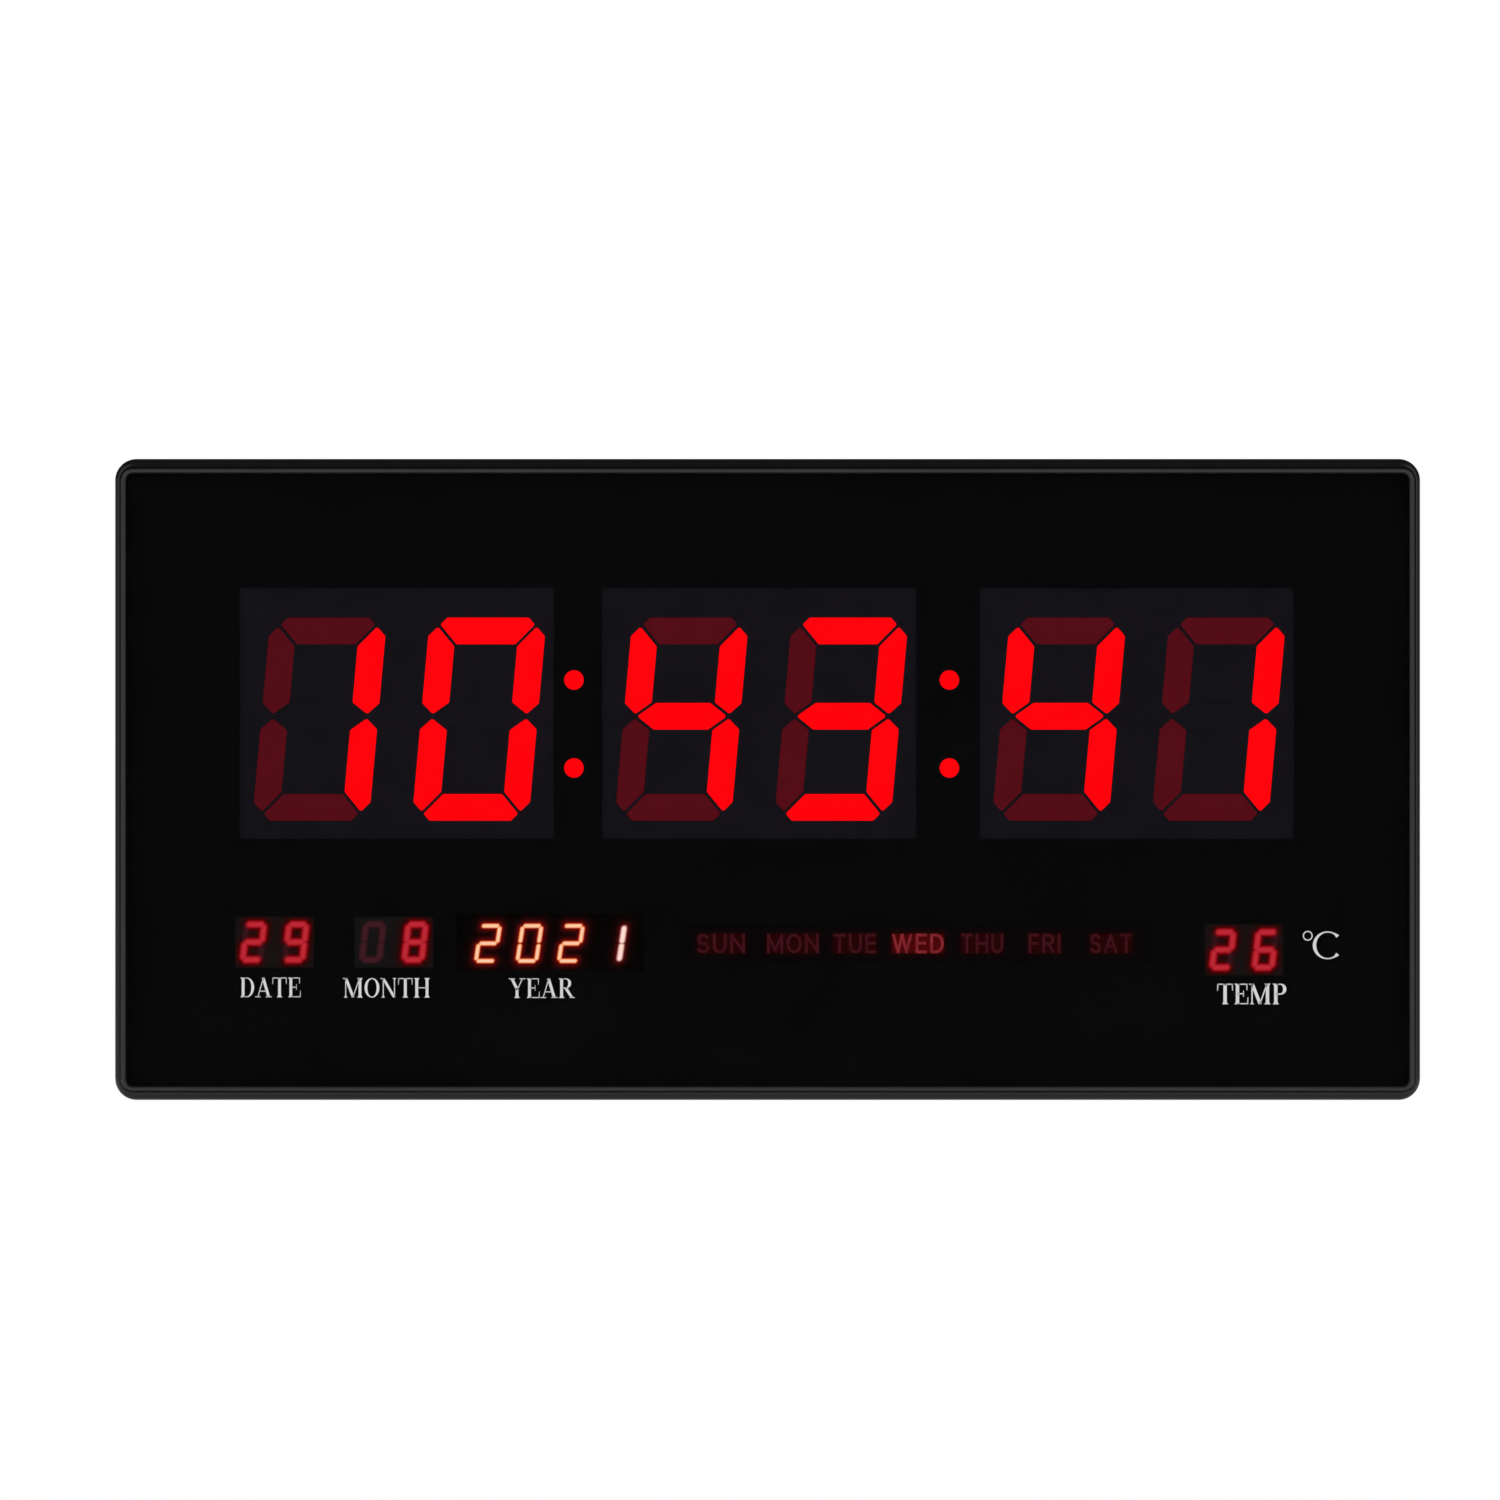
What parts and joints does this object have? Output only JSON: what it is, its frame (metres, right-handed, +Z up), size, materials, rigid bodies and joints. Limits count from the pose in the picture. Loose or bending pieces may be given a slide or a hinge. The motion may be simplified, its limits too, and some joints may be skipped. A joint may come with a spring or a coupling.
{
  "type": "digital wall clock",
  "caption": "Wide black digital wall clock with large red seven-segment time, date, month, year, weekday and temperature displays behind a smoked panel, hung on keyholes.",
  "frame": {"origin": "middle of the rear cover's flat wall face", "axes": "+X to the viewer's right across the dial, -Y out of the wall towards the viewer, +Z up"},
  "size_m": [0.456, 0.03, 0.224],
  "materials": {
    "gloss_case": "gloss",
    "matte_case": "fine texture",
    "smoked_panel": "polished, smoked",
    "mask_ink": "printed",
    "foam_tape": "matte",
    "board_green": "solder resist",
    "housing_grey": "matte",
    "lens_lit": "diffuse lens, lit",
    "lens_dark": "diffuse lens, unlit",
    "year_lens_lit": "diffuse lens, lit",
    "lamp_body": "matte",
    "light_box": "matte",
    "legend_film": "printed film",
    "screw_steel": "plated",
    "switch_black": "matte",
    "button_grey": "satin",
    "plunger_white": "satin",
    "cell_steel": "polished",
    "contact_metal": "plated",
    "chip_epoxy": "matte",
    "can_aluminium": "satin"
  },
  "bodies": {
    "case": {"board_screws": "screw_steel", "buzzer": "switch_black", "capacitors": "can_aluminium", "cell_contacts": "contact_metal", "cell_holder": "switch_black", "clock_chip": "chip_epoxy", "coin_cell": "cell_steel", "colon_lamps": "lens_lit", "cover_screws": "screw_steel", "crystal": "cell_steel", "date_housing": "housing_grey", "date_segments_dark": "lens_dark", "date_segments_lit": "lens_lit", "dc_jack": "switch_black", "dc_jack_pin": "contact_metal", "driver_chips": "chip_epoxy", "front_bezel": "gloss_case", "front_panel": "smoked_panel", "hours_lamps": "lamp_body", "hours_reflector": "housing_grey", "hours_segments_dark": "lens_dark", "hours_segments_lit": "lens_lit", "main_board": "board_green", "minutes_lamps": "lamp_body", "minutes_reflector": "housing_grey", "minutes_segments_dark": "lens_dark", "minutes_segments_lit": "lens_lit", "month_housing": "housing_grey", "month_segments_dark": "lens_dark", "month_segments_lit": "lens_lit", "panel_tape": "foam_tape", "printed_mask": "mask_ink", "rear_cover": "matte_case", "seconds_lamps": "lamp_body", "seconds_reflector": "housing_grey", "seconds_segments_dark": "lens_dark", "seconds_segments_lit": "lens_lit", "segment_resistors": "chip_epoxy", "switch_bodies": "switch_black", "temperature_housing": "housing_grey", "temperature_segments_dark": "lens_dark", "temperature_segments_lit": "lens_lit", "temperature_sensor": "chip_epoxy", "weekday_film": "legend_film", "weekday_lamps": "lamp_body", "weekday_light_box": "light_box", "year_housing": "housing_grey", "year_segments_dark": "lens_dark", "year_segments_lit": "year_lens_lit"},
    "set_button_body": {"set_button": "button_grey", "set_plunger": "plunger_white"},
    "up_button_body": {"up_button": "button_grey", "up_plunger": "plunger_white"},
    "down_button_body": {"down_button": "button_grey", "down_plunger": "plunger_white"},
    "alarm_button_body": {"alarm_button": "button_grey", "alarm_plunger": "plunger_white"},
    "battery_door_body": {"battery_door": "matte_case"}
  },
  "joints": [
    {"name": "set_button_press", "type": "slide", "parent": "case", "child": "set_button_body", "axis": [0, -1, 0], "range_m": [0, 0.0004], "stiffness_N_per_m": 2000},
    {"name": "up_button_press", "type": "slide", "parent": "case", "child": "up_button_body", "axis": [0, -1, 0], "range_m": [0, 0.0004], "stiffness_N_per_m": 2000},
    {"name": "down_button_press", "type": "slide", "parent": "case", "child": "down_button_body", "axis": [0, -1, 0], "range_m": [0, 0.0004], "stiffness_N_per_m": 2000},
    {"name": "alarm_button_press", "type": "slide", "parent": "case", "child": "alarm_button_body", "axis": [0, -1, 0], "range_m": [0, 0.0004], "stiffness_N_per_m": 2000},
    {"name": "battery_door_hinge", "type": "hinge", "parent": "case", "child": "battery_door_body", "pos_m": [-0.13, -0.0014, -0.0172], "axis": [1, 0, 0], "range_deg": [0, 90]}
  ]
}
